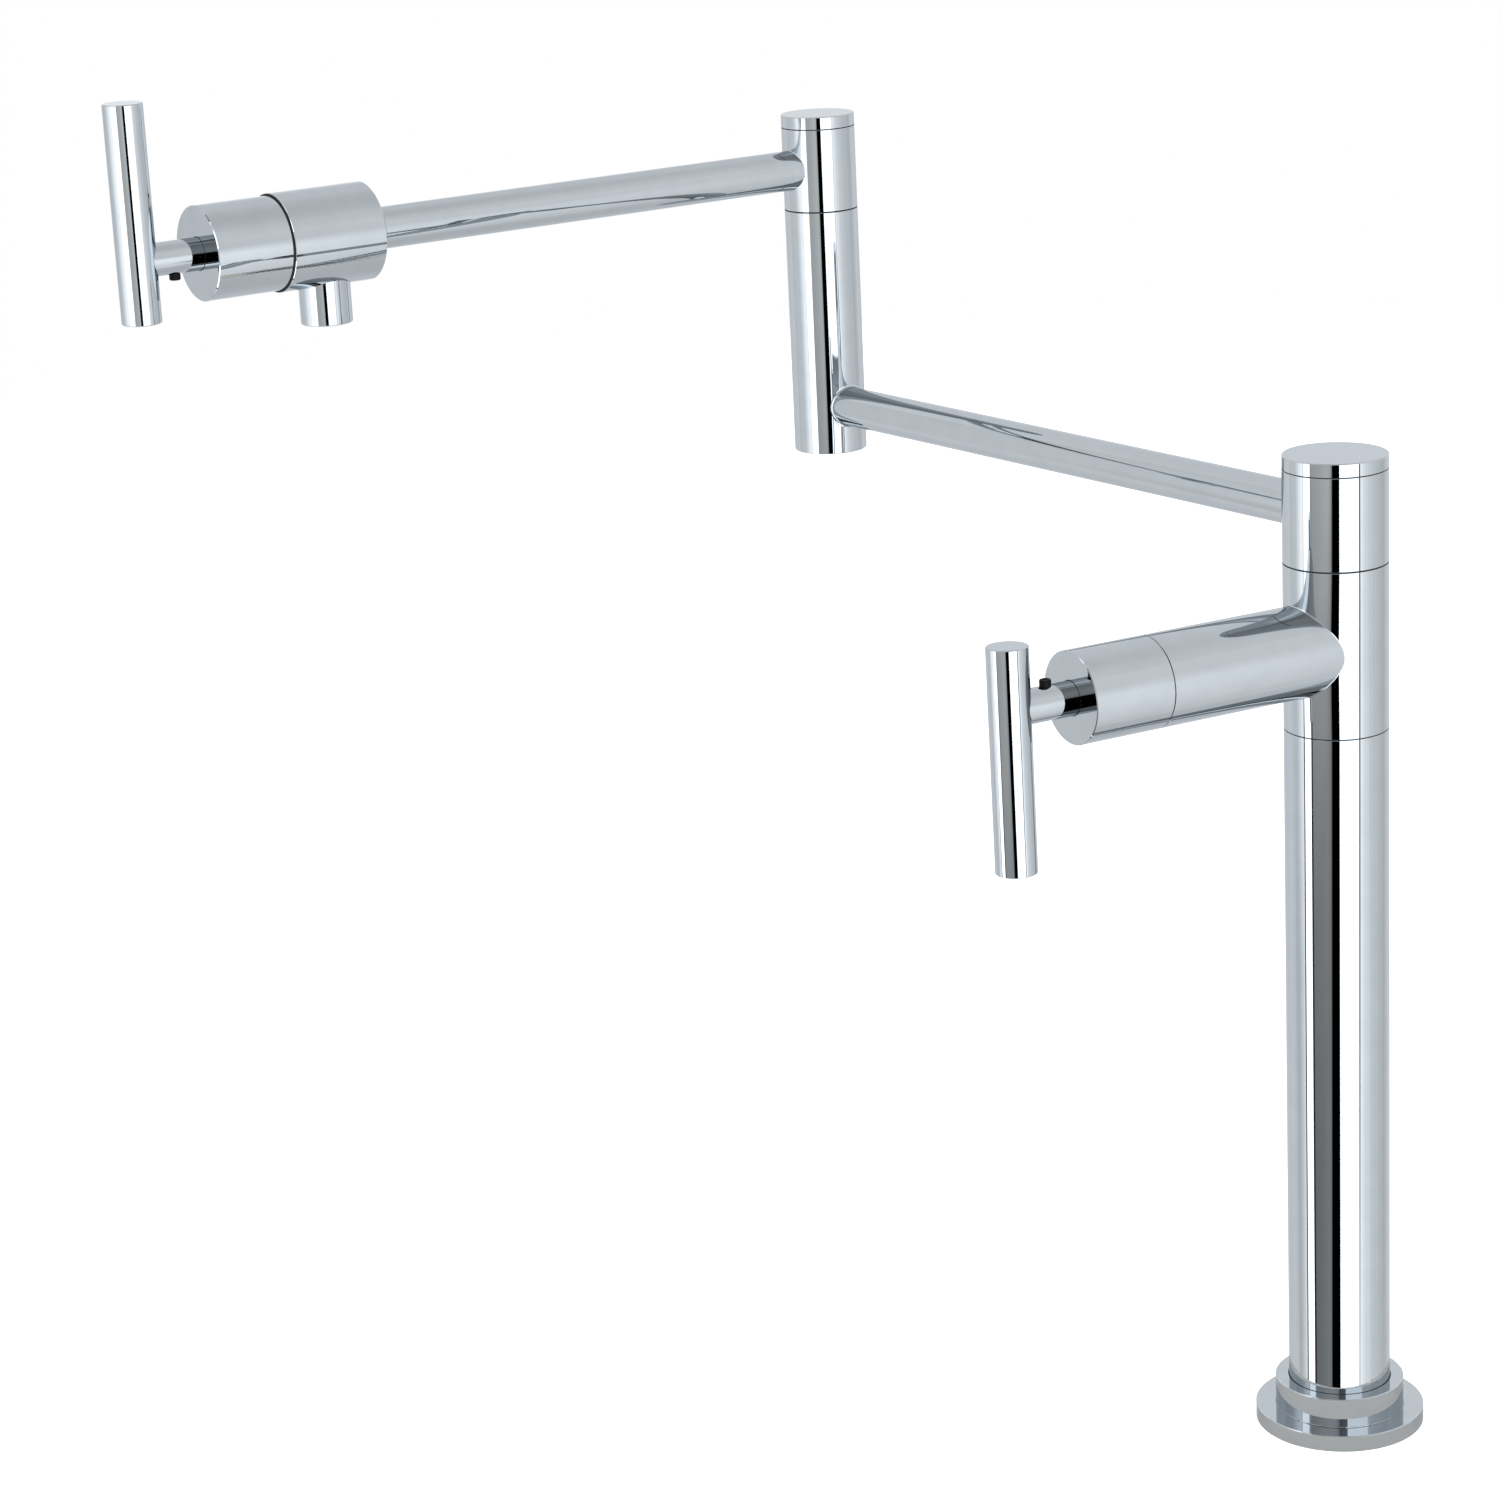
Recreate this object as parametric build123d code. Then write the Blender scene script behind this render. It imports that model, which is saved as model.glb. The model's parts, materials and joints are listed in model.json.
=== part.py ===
from build123d import *

import math
import os
from dataclasses import dataclass

# Deck mount pot filler, in millimetres.
# The origin is on the column's axis at the deck, +Z is up. The side valve points to -Y, towards
# the user, and the folded arm leaves towards -X and comes forward again.

# Column, from the deck upwards
column_diameter = 35.0
flange_diameter = 58.0
flange_thickness = 5.7
collar_diameter = 44.2
collar_height = 10.4
collar_edge_bevel = 0.25
riser_exposed_height = 235.5
riser_wall = 2.5
riser_recess = 1.5
valve_body_height = 56.5
head_height = 31.2

# Side valve and its place on the column
side_valve_height = 28.3
side_barrel_diameter = 30.9
side_barrel_reach = 75.2
side_barrel_fillet = 0.4
side_bonnet_length = 30.1
side_handle_lean = 1.5

# Arms, and the pose they are drawn in
arm_diameter = 14.8
arm_wall = 1.5
lower_arm_length = 275.9
lower_arm_height = 16.5
lower_arm_angle = 186.7
elbow_angle = 87.8
boss_length = 3.0
sleeve_boss_fillet = 0.3
joint_boss_fillet = 1.1
spigot_length = 10.0
spigot_wall = 1.5

# Middle joint
joint_diameter = 27.6
joint_barrel_height = 92.2
joint_arm_height = 17.8
joint_floor = 4.0
joint_chamber_diameter = 18.0
knuckle_height = 30.6
upper_arm_height = 15.6

# Outlet at the end of the upper arm
outlet_start = 194.3
outlet_body_length = 35.7
outlet_body_diameter = 34.4
outlet_bonnet_diameter = 33.0
outlet_bonnet_length = 28.7
nozzle_reach = 17.2
nozzle_diameter = 18.3
nozzle_drop = 30.2
nozzle_wall = 1.3
nozzle_bore = 10.4
nozzle_thread_diameter = 14.0
seat_wall = 1.0
insert_depth = 8.2
insert_setback = 0.4
insert_wall = 1.3
mesh_thickness = 0.8
mesh_hole = 1.5
mesh_pitch = 1.95
mesh_rings = 3

# Swivels: the post stands in the lower piece and the upper piece turns on it
column_post_diameter = 18.0
column_post_bore = 11.0
joint_post_diameter = 14.0
joint_post_bore = 8.0
post_thread_step = 0.55
post_thread_length = 12.3
port_count = 4
port_diameter = 4.8
gallery_width = 6.0
gallery_depth = 1.0
seal_section = 1.5
seal_groove_width = 2.2
seal_margin = 3.3
thrust_washer_thickness = 1.5
thrust_washer_width = 4.2
top_washer_thickness = 0.9
top_washer_width = 3.2
retaining_ring_thickness = 1.0
retaining_ring_width = 3.4
retaining_groove_depth = 0.8
post_end = 1.3
cap_thickness = 4.8
cap_spigot_depth = 2.3
cap_spigot_wall = 2.0

# Water ways in the valve body
chamber_diameter = 20.0
inlet_way_diameter = 8.4
chamber_headroom = 5.5
upper_chamber_depth = 1.0
outlet_way_diameter = 4.4
outlet_way_offset = 12.0
outlet_way_spread = 28.0
outlet_way_count = 3
post_ledge = 1.0

# Quarter-turn cartridge, the same in both valves
cartridge_diameter = 18.0
cartridge_depth = 26.0
cartridge_wall = 1.4
cartridge_flange_diameter = 21.2
cartridge_flange_thickness = 3.0
cartridge_neck_diameter = 14.0
cartridge_neck_height = 14.0
shoulder_depth = 7.0
gallery_start = 22.0
gallery_length = 10.0
valve_gallery_diameter = 24.4
window_length = 6.0
window_width = 9.0
seat_seal_thickness = 1.8
seat_seal_bore = 10.4
disc_thickness = 3.0
disc_gap = 0.04
port_inner_diameter = 3.6
port_outer_diameter = 12.4
port_sector = 80.0
drive_slot_width = 3.1
drive_slot_length = 12.2
drive_slot_depth = 1.2
spindle_diameter = 8.0
spindle_flange_thickness = 3.0
stem_seal_section = 1.1
stem_seal_place = 4.0
stop_height = 2.5
stop_reach = 6.6
stop_bite = 2.0
stop_sector = 30.0
stop_play = 3.0
quarter_turn = 90.0

# Bonnet thread and cartridge nut
bonnet_thread_diameter = 26.4
bonnet_thread_length = 7.0
bonnet_wall = 2.8
bonnet_face_thickness = 4.0
nut_thread_diameter = 22.0
nut_hex_flats = 19.0
nut_hex_height = 4.0

# T-bar handle, the same on both valves
hub_diameter = 11.5
hub_gap = 0.2
hub_inset = 8.0
handle_standoff = 23.0
rod_diameter = 13.9
rod_long_end = 53.7
rod_short_end = 21.0
rod_pin_diameter = 7.0
rod_pin_depth = 3.0
set_screw_diameter = 3.9
set_screw_place = 9.3
set_screw_proud = 2.1
set_screw_socket_flats = 2.0
set_screw_socket_depth = 1.4
spindle_past_screw = 3.0
spindle_flat_depth = 0.7

# Mounting parts on and under the deck
shank_diameter = 23.9
shank_bore = 13.0
shank_head_length = 18.0
shank_length_below_deck = 75.0
shank_end_bevel = 1.0
supply_thread_diameter = 20.9
supply_thread_length = 26.0
thread_relief_width = 2.0
thread_relief_depth = 0.9
valve_spigot_length = 12.0
flange_hole_clearance = 0.3
gasket_thickness = 1.5
gasket_diameter = 50.0
deck_thickness = 30.0
washer_diameter = 38.0
rubber_washer_thickness = 3.0
steel_washer_thickness = 2.0
nut_flats = 30.0
nut_height = 11.0
nut_corner_bevel = 1.2

# Gaps and edges shared by every piece
swivel_gap = 0.3
seam_gap = 0.15
seam_bevel = 0.15
rim_bevel = 0.3
running_clearance = 0.05
fit_clearance = 0.05
seal_clearance = 0.03
seal_bevel = 0.3
loose_clearance = 0.3

# Radii and heights that follow from the sizes above
column_radius = column_diameter / 2
joint_radius = joint_diameter / 2
arm_radius = arm_diameter / 2
arm_bore_radius = arm_radius - arm_wall
spigot_radius = arm_bore_radius - fit_clearance
waterway_radius = spigot_radius - spigot_wall
riser_bore_radius = column_radius - riser_wall
shank_radius = shank_diameter / 2
supply_thread_radius = supply_thread_diameter / 2
riser_bottom = flange_thickness - riser_recess
riser_top = flange_thickness + collar_height + riser_exposed_height
column_seat = riser_top + valve_body_height
side_axis_height = riser_top + side_valve_height
joint_bottom = column_seat + lower_arm_height - joint_arm_height
joint_seat = joint_bottom + joint_barrel_height
upper_arm_angle = lower_arm_angle + elbow_angle
outlet_seam = outlet_start + outlet_body_length
spindle_radius = spindle_diameter / 2


def rod(radius, low, high):
    """A cylinder about Z between two heights."""
    return Pos(0, 0, low) * Cylinder(radius, high - low, align=(Align.CENTER, Align.CENTER, Align.MIN))


def tube(outer, inner, low, high):
    """A ring or tube about Z between two heights."""
    return rod(outer, low, high) - rod(inner, low - 1, high + 1)


def hexagon(flats, low, high):
    """A hexagonal bar about Z between two heights."""
    outline = RegularPolygon(flats / 2, 6, major_radius=False)
    return Pos(0, 0, low) * extrude(outline, high - low)


def bevel(shape, size, radius, *heights):
    """Bevels the round edges of one radius that lie at the given heights."""
    edges = [
        edge
        for edge in shape.edges().filter_by(GeomType.CIRCLE)
        if abs(edge.radius - radius) < 0.001 and any(abs(edge.center().Z - z) < 0.001 for z in heights)
    ]
    return chamfer(edges, size)


def axis_point(length, angle):
    """The place of a vertical axis, a length away from the column at an angle."""
    turn = math.radians(angle)
    return (length * math.cos(turn), length * math.sin(turn))


def level_frame(place, angle, height, start=0.0):
    """A frame whose Z runs level, outwards at an angle from a vertical axis, with Y up."""
    turn = math.radians(angle)
    origin = (place[0] + start * math.cos(turn), place[1] + start * math.sin(turn), height)
    across = (-math.sin(turn), math.cos(turn), 0)
    outwards = (math.cos(turn), math.sin(turn), 0)
    return Plane(origin=origin, x_dir=across, z_dir=outwards)


column_axis = (0.0, 0.0)
joint_axis = axis_point(lower_arm_length, lower_arm_angle)


@dataclass
class Swivel:
    """A vertical swivel between a lower piece and the sleeve that turns on its post."""

    seat: float
    body_radius: float
    post_radius: float
    bore_radius: float
    sleeve_height: float
    arm_height: float
    arm_angle: float

    def __post_init__(self):
        self.thread_radius = self.post_radius - post_thread_step
        self.washer_floor = self.seat + swivel_gap - thrust_washer_thickness
        self.post_bottom = self.washer_floor - post_thread_length
        self.washer_radius = self.post_radius + thrust_washer_width
        self.sleeve_low = self.seat + swivel_gap
        self.sleeve_high = self.sleeve_low + self.sleeve_height
        self.arm_level = self.seat + self.arm_height
        self.spigot_floor = self.sleeve_high - cap_spigot_depth
        self.ring_low = self.spigot_floor - retaining_ring_thickness + 2 * running_clearance
        self.clip_floor = self.ring_low - running_clearance - top_washer_thickness
        self.clip_radius = self.post_radius + retaining_ring_width
        self.cap_spigot_radius = self.clip_radius + loose_clearance + cap_spigot_wall
        self.post_top = self.ring_low + retaining_ring_thickness + post_end
        self.seal_levels = [self.arm_level + side * (waterway_radius + seal_margin) for side in (-1, 1)]


column_swivel = Swivel(
    column_seat,
    column_radius,
    column_post_diameter / 2,
    column_post_bore / 2,
    head_height,
    lower_arm_height,
    lower_arm_angle,
)
joint_swivel = Swivel(
    joint_seat,
    joint_radius,
    joint_post_diameter / 2,
    joint_post_bore / 2,
    knuckle_height,
    upper_arm_height,
    upper_arm_angle,
)


def with_arm_boss(body, angle, height, body_radius, fillet_radius):
    """Adds the filleted boss and the spigot that an arm tube is brazed onto."""
    frame = level_frame(column_axis, angle, height)
    boss = frame * rod(arm_radius, 0, body_radius + boss_length)
    joined = body + boss
    joined = fillet(new_edges(body, boss, combined=joined), fillet_radius)
    spigot = frame * rod(spigot_radius, 0, body_radius + boss_length + spigot_length)
    return joined + spigot


def arm_waterway(angle, height, body_radius):
    """The bore from a vertical axis out through an arm's spigot."""
    frame = level_frame(column_axis, angle, height)
    return frame * rod(waterway_radius, 0, body_radius + boss_length + spigot_length + 1)


def swivel_sleeve(swivel):
    """The piece that turns on the post: the swivel head, or the knuckle of the middle joint."""
    body = rod(swivel.body_radius, swivel.sleeve_low, swivel.sleeve_high)
    body = bevel(body, seam_bevel, swivel.body_radius, swivel.sleeve_low, swivel.sleeve_high)
    body = with_arm_boss(body, swivel.arm_angle, swivel.arm_level, swivel.body_radius, sleeve_boss_fillet)
    body -= arm_waterway(swivel.arm_angle, swivel.arm_level, swivel.body_radius)
    body -= rod(swivel.post_radius + running_clearance, swivel.sleeve_low - 1, swivel.sleeve_high)
    body -= rod(swivel.clip_radius + loose_clearance, swivel.clip_floor, swivel.sleeve_high)
    body -= rod(swivel.cap_spigot_radius + fit_clearance, swivel.spigot_floor, swivel.sleeve_high + 1)
    return body


def swivel_cap(swivel):
    """The flat cap over the post, with the ring that presses into the sleeve."""
    low = swivel.sleeve_high + seam_gap
    high = swivel.sleeve_high + cap_thickness
    cap = rod(swivel.body_radius, low, high)
    cap = bevel(cap, seam_bevel, swivel.body_radius, low)
    cap = bevel(cap, rim_bevel, swivel.body_radius, high)
    inner = swivel.cap_spigot_radius - cap_spigot_wall
    return cap + tube(swivel.cap_spigot_radius, inner, swivel.spigot_floor, low)


def swivel_socket(swivel):
    """What the post and its washer take out of the lower piece."""
    thread = rod(swivel.thread_radius + fit_clearance, swivel.post_bottom, swivel.seat)
    recess = rod(swivel.washer_radius + fit_clearance, swivel.washer_floor, swivel.seat + 1)
    return thread + recess


def swivel_post(swivel):
    """The turned post: thread, journal, two seal grooves, water ports and a clip groove."""
    post = rod(swivel.thread_radius, swivel.post_bottom, swivel.washer_floor)
    post += rod(swivel.post_radius, swivel.washer_floor, swivel.post_top)
    post -= rod(swivel.bore_radius, swivel.post_bottom - 1, swivel.arm_level + gallery_width / 2)
    gallery_floor = swivel.post_radius - gallery_depth
    half = gallery_width / 2
    post -= tube(swivel.post_radius + 1, gallery_floor, swivel.arm_level - half, swivel.arm_level + half)
    for turn in range(port_count):
        port = level_frame(column_axis, 360 / port_count * turn, swivel.arm_level)
        post -= port * rod(port_diameter / 2, 0, swivel.post_radius + 1)
    groove_floor = swivel.post_radius - seal_section
    for level in swivel.seal_levels:
        low = level - seal_groove_width / 2
        post -= tube(swivel.post_radius + 1, groove_floor, low, low + seal_groove_width)
    clip_floor = swivel.post_radius - retaining_groove_depth
    clip_low = swivel.ring_low - running_clearance
    clip_high = swivel.ring_low + retaining_ring_thickness + running_clearance
    post -= tube(swivel.post_radius + 1, clip_floor, clip_low, clip_high)
    return bevel(post, rim_bevel, swivel.post_radius, swivel.post_top)


def seal_ring(inner, outer):
    """A rubber ring of bevelled square section that fills the gap between two radii."""
    half = (outer - inner) / 2 - seal_clearance
    ring = tube(outer - seal_clearance, inner + seal_clearance, -half, half)
    return chamfer(ring.edges().filter_by(GeomType.CIRCLE), seal_bevel)


def swivel_seals(swivel):
    """The two rubber rings on the post, above and below the water ports."""
    inner = swivel.post_radius - seal_section
    outer = swivel.post_radius + running_clearance
    return [Pos(0, 0, level) * seal_ring(inner, outer) for level in swivel.seal_levels]


def thrust_washer(swivel):
    """The plastic washer that carries the upper piece and keeps the seam open."""
    inner = swivel.post_radius + running_clearance
    return tube(swivel.washer_radius, inner, swivel.washer_floor, swivel.sleeve_low)


def top_washer(swivel):
    """The plastic washer between the sleeve and the retaining ring."""
    inner = swivel.post_radius + running_clearance
    outer = swivel.post_radius + top_washer_width
    return tube(outer, inner, swivel.clip_floor, swivel.clip_floor + top_washer_thickness)


def retaining_ring(swivel):
    """The open steel ring in the groove of the post."""
    low = swivel.ring_low
    high = low + retaining_ring_thickness
    inner = swivel.post_radius - retaining_groove_depth + fit_clearance
    ring = tube(swivel.clip_radius, inner, low, high)
    mouth_width = swivel.post_radius / 2
    mouth = Pos(swivel.post_radius, 0, (low + high) / 2) * Box(2 * swivel.post_radius, mouth_width, 2)
    return ring - mouth


def deck_flange():
    """The round plate on the deck, recessed for the column above and the gasket below."""
    radius = flange_diameter / 2
    plate = rod(radius, 0, flange_thickness)
    plate = bevel(plate, rim_bevel, radius, flange_thickness)
    plate -= rod(shank_radius + flange_hole_clearance, -1, flange_thickness)
    plate -= rod(column_radius + fit_clearance, riser_bottom, flange_thickness + 1)
    return plate - rod(gasket_diameter / 2 + fit_clearance, -1, gasket_thickness)


def base_collar():
    """The ring round the foot of the column."""
    radius = collar_diameter / 2
    top = flange_thickness + collar_height
    bore_radius = column_radius + fit_clearance
    ring = rod(radius, flange_thickness, top)
    ring = bevel(ring, rim_bevel, radius, top)
    ring = bevel(ring, collar_edge_bevel, radius, flange_thickness)
    ring -= rod(bore_radius, flange_thickness - 1, top + 1)
    return bevel(ring, collar_edge_bevel, bore_radius, top)


def riser_tube():
    """The tall tube of the column, open from end to end."""
    riser = rod(column_radius, riser_bottom, riser_top)
    riser = bevel(riser, seam_bevel, column_radius, riser_top)
    return riser - rod(riser_bore_radius, riser_bottom - 1, riser_top + 1)


def threaded_shank():
    """The shank through the deck: its head screws into the riser, its end takes the supply."""
    low = -shank_length_below_deck
    relief_low = low + supply_thread_length
    relief_high = relief_low + thread_relief_width
    shank = rod(supply_thread_radius, low, relief_low)
    shank = bevel(shank, shank_end_bevel, supply_thread_radius, low)
    shank += rod(supply_thread_radius - thread_relief_depth, relief_low, relief_high)
    shank += rod(shank_radius, relief_high, riser_bottom)
    shank += rod(riser_bore_radius - fit_clearance, riser_bottom, riser_bottom + shank_head_length)
    return shank - rod(shank_bore / 2, low - 1, riser_bottom + shank_head_length + 1)


def mounting_parts():
    """Gasket, washers and nut that clamp the deck."""
    hole = shank_radius + flange_hole_clearance
    rubber_low = -deck_thickness - rubber_washer_thickness
    steel_low = rubber_low - steel_washer_thickness
    nut_low = steel_low - nut_height
    corner_radius = nut_flats / math.sqrt(3)
    nut_blank = rod(corner_radius, nut_low, steel_low)
    nut_blank = bevel(nut_blank, nut_corner_bevel, corner_radius, nut_low, steel_low)
    nut = hexagon(nut_flats, nut_low, steel_low) & nut_blank
    return {
        "flange_gasket": tube(gasket_diameter / 2, hole, 0, gasket_thickness),
        "deck_rubber_washer": tube(washer_diameter / 2, hole, rubber_low, -deck_thickness),
        "deck_steel_washer": tube(washer_diameter / 2, hole, steel_low, rubber_low),
        "mounting_nut": nut - rod(shank_radius + fit_clearance, nut_low - 1, steel_low + 1),
    }


def cartridge_cavity(seam):
    """What the cartridge, its nut and the outlet gallery take out of a valve barrel."""
    cavity = rod(cartridge_diameter / 2 + fit_clearance, seam - cartridge_depth, seam)
    cavity += rod(valve_gallery_diameter / 2, seam - gallery_start, seam - gallery_start + gallery_length)
    return cavity + rod(nut_thread_diameter / 2, seam - shoulder_depth, seam + bonnet_thread_length + 1)


def valve_body():
    """The column piece with the side barrel and the water ways to and from its cartridge."""
    low = riser_top + seam_gap
    column = rod(column_radius, low, column_seat)
    column = bevel(column, seam_bevel, column_radius, low, column_seat)
    barrel_radius = side_barrel_diameter / 2
    frame = level_frame(column_axis, -90, side_axis_height)
    barrel = bevel(rod(barrel_radius, 0, side_barrel_reach), seam_bevel, barrel_radius, side_barrel_reach)
    barrel = frame * barrel
    body = column + barrel
    body = fillet(new_edges(column, barrel, combined=body), side_barrel_fillet)
    body += frame * rod(bonnet_thread_diameter / 2, 0, side_barrel_reach + bonnet_thread_length)
    body += rod(riser_bore_radius - fit_clearance, riser_top - valve_spigot_length, low + 1)

    way_radius = outlet_way_diameter / 2
    way_level = side_axis_height + outlet_way_offset
    chamber_top = side_axis_height + chamber_headroom
    body -= rod(chamber_diameter / 2, riser_top - valve_spigot_length - 1, chamber_top)
    body -= frame * rod(inlet_way_diameter / 2, 0, side_barrel_reach - cartridge_depth + 1)
    body -= frame * cartridge_cavity(side_barrel_reach)
    floor = way_level - way_radius - upper_chamber_depth
    body -= rod(column_swivel.bore_radius + post_ledge, floor, column_seat)
    way_start = column_swivel.bore_radius / 2
    way_end = side_barrel_reach - gallery_start + way_radius
    middle = (outlet_way_count - 1) / 2
    for number in range(outlet_way_count):
        turn = Rot(0, 0, (number - middle) * outlet_way_spread)
        way = turn * Pos(0, outlet_way_offset, 0) * rod(way_radius, way_start, way_end)
        body -= frame * way
    return body - swivel_socket(column_swivel)


def joint_barrel():
    """The lower piece of the middle joint, closed below, with the boss of the lower arm."""
    swivel = joint_swivel
    body = rod(joint_radius, joint_bottom, joint_seat)
    body = bevel(body, rim_bevel, joint_radius, joint_bottom)
    body = bevel(body, seam_bevel, joint_radius, joint_seat)
    back = lower_arm_angle + 180
    body = with_arm_boss(body, back, column_swivel.arm_level, joint_radius, joint_boss_fillet)
    body -= arm_waterway(back, column_swivel.arm_level, joint_radius)
    chamber_top = swivel.post_bottom - joint_floor
    body -= rod(joint_chamber_diameter / 2, joint_bottom + joint_floor, chamber_top)
    body -= rod(swivel.bore_radius + post_ledge, joint_bottom + joint_floor, swivel.seat)
    return body - swivel_socket(swivel)


def arm_tubes():
    """The two plain tubes, each between the ends of its bosses."""
    lower_end = lower_arm_length - joint_radius - boss_length
    lower = tube(arm_radius, arm_bore_radius, column_radius + boss_length, lower_end)
    upper = tube(arm_radius, arm_bore_radius, joint_radius + boss_length, outlet_start)
    return {
        "lower_arm_tube": level_frame(column_axis, lower_arm_angle, column_swivel.arm_level) * lower,
        "upper_arm_tube": level_frame(joint_axis, upper_arm_angle, joint_swivel.arm_level) * upper,
    }


def outlet_body():
    """The barrel at the end of the upper arm, about the arm's own axis."""
    radius = outlet_body_diameter / 2
    body = rod(radius, outlet_start, outlet_seam)
    body = bevel(body, rim_bevel, radius, outlet_start, outlet_seam)
    body += rod(spigot_radius, outlet_start - spigot_length, outlet_start)
    body += rod(bonnet_thread_diameter / 2, outlet_seam, outlet_seam + bonnet_thread_length)
    body -= rod(waterway_radius, outlet_start - spigot_length - 1, outlet_seam - cartridge_depth + 1)
    body -= cartridge_cavity(outlet_seam)
    down = Pos(0, 0, outlet_start + nozzle_reach) * Rot(90, 0, 0)
    hole_floor = cartridge_diameter / 2 + fit_clearance + seat_wall
    return body - down * rod(nozzle_thread_diameter / 2 + fit_clearance, hole_floor, radius + 1)


def outlet_nozzle():
    """The nozzle, its top cut to the barrel's round, with a thread above and a recess below."""
    barrel_radius = outlet_body_diameter / 2
    gallery_radius = valve_gallery_diameter / 2
    radius = nozzle_diameter / 2
    nozzle = rod(radius, 0, nozzle_drop)
    nozzle = bevel(nozzle, rim_bevel, radius, nozzle_drop)
    nozzle -= Rot(90, 0, 0) * Cylinder(barrel_radius, 2 * nozzle_drop)
    nozzle += rod(nozzle_thread_diameter / 2, gallery_radius, barrel_radius + 1)
    nozzle -= rod(nozzle_bore / 2, 0, nozzle_drop + 1)
    return nozzle - rod(radius - nozzle_wall, nozzle_drop - insert_depth, nozzle_drop + 1)


def stream_insert():
    """The round housing in the nozzle that holds the mesh."""
    outer = nozzle_diameter / 2 - nozzle_wall - fit_clearance
    low = nozzle_drop - insert_depth
    high = nozzle_drop - insert_setback
    return tube(outer, outer - insert_wall, low, high)


def stream_mesh():
    """The flat mesh: a hexagonal field of holes, ring by ring round the middle one."""
    radius = nozzle_diameter / 2 - nozzle_wall - insert_wall - 2 * fit_clearance
    low = nozzle_drop - insert_setback - 2 * mesh_thickness
    mesh = rod(radius, low, low + mesh_thickness)
    holes = []
    for column in range(-mesh_rings, mesh_rings + 1):
        for row in range(-mesh_rings, mesh_rings + 1):
            if abs(column + row) <= mesh_rings:
                x = mesh_pitch * (column + row / 2)
                y = mesh_pitch * row * math.sqrt(3) / 2
                holes.append(Pos(x, y, 0) * hexagon(mesh_hole, low - 1, low + mesh_thickness + 1))
    return mesh - holes


def port_pair(low, high):
    """The two opposite sector openings of a ceramic disc."""
    reach = port_outer_diameter
    half = reach * math.tan(math.radians(port_sector / 2))
    wedge = make_face(Polyline((0, 0), (reach, -half), (reach, half), (0, 0)))
    wedge = Pos(0, 0, low) * extrude(wedge, high - low)
    band = tube(port_outer_diameter / 2, port_inner_diameter / 2, low, high)
    return (wedge + Rot(0, 0, 180) * wedge) & band


def seat_seal():
    """The rubber ring between the barrel's seat and the cartridge."""
    low = -cartridge_depth
    outer = cartridge_diameter / 2 - loose_clearance
    return tube(outer, seat_seal_bore / 2, low, low + seat_seal_thickness)


def disc_levels():
    """Where the fixed and the turning disc begin."""
    fixed = -cartridge_depth + seat_seal_thickness
    return fixed, fixed + disc_thickness + disc_gap


def disc_radius():
    """The radius of both ceramic discs, from the cartridge's bore."""
    return cartridge_diameter / 2 - cartridge_wall - running_clearance


def fixed_disc():
    """The ceramic disc that stands still in the cartridge."""
    low = disc_levels()[0]
    return rod(disc_radius(), low, low + disc_thickness) - port_pair(low - 1, low + disc_thickness + 1)


def turning_disc():
    """The ceramic disc that the spindle turns, shut a quarter turn away from the fixed ports."""
    low = disc_levels()[1]
    high = low + disc_thickness
    disc = rod(disc_radius(), low, high) - Rot(0, 0, 90) * port_pair(low - 1, high + 1)
    slot = Box(drive_slot_length, drive_slot_width, 2 * drive_slot_depth)
    return disc - Pos(0, 0, high) * slot


def cartridge_body():
    """The brass shell: barrel with two windows, flange, neck and the quarter-turn stop."""
    low = -cartridge_depth + seat_seal_thickness
    chamber_top = window_levels()[1] + spindle_flange_thickness + running_clearance
    body = rod(cartridge_diameter / 2, low, -shoulder_depth)
    flange_top = cartridge_flange_thickness - shoulder_depth
    body += rod(cartridge_flange_diameter / 2, -shoulder_depth, flange_top)
    body += rod(cartridge_neck_diameter / 2, flange_top, cartridge_neck_height)
    body += stop_crown()
    body -= rod(cartridge_diameter / 2 - cartridge_wall, low - 1, chamber_top)
    body -= rod(spindle_radius + running_clearance, low, cartridge_neck_height + stop_height + 1)
    window_low, window_high = window_levels()
    middle = Pos(0, 0, (window_low + window_high) / 2)
    return body - middle * Box(window_width, cartridge_diameter + 2, window_high - window_low)


def window_levels():
    """The heights between which the water leaves the cartridge's side."""
    low = disc_levels()[1] + disc_thickness
    return low, low + window_length


def sector(radius, start, span, low, high):
    """A round sector about Z, from a start angle over a span of degrees."""
    first = axis_point(radius, start)
    middle = axis_point(radius, start + span / 2)
    last = axis_point(radius, start + span)
    outline = make_face([Line((0, 0), first), ThreePointArc(first, middle, last), Line(last, (0, 0))])
    return Pos(0, 0, low) * extrude(outline, high - low)


def stop_crown():
    """The raised rim on the neck that the spindle's lug meets at both ends of its turn."""
    free = quarter_turn + stop_sector + 2 * stop_play
    low = cartridge_neck_height
    start = free - stop_sector / 2 - stop_play
    crown = sector(cartridge_neck_diameter / 2, start, 360 - free, low, low + stop_height)
    return crown - rod(stop_reach - stop_bite, low, low + stop_height)


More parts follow.
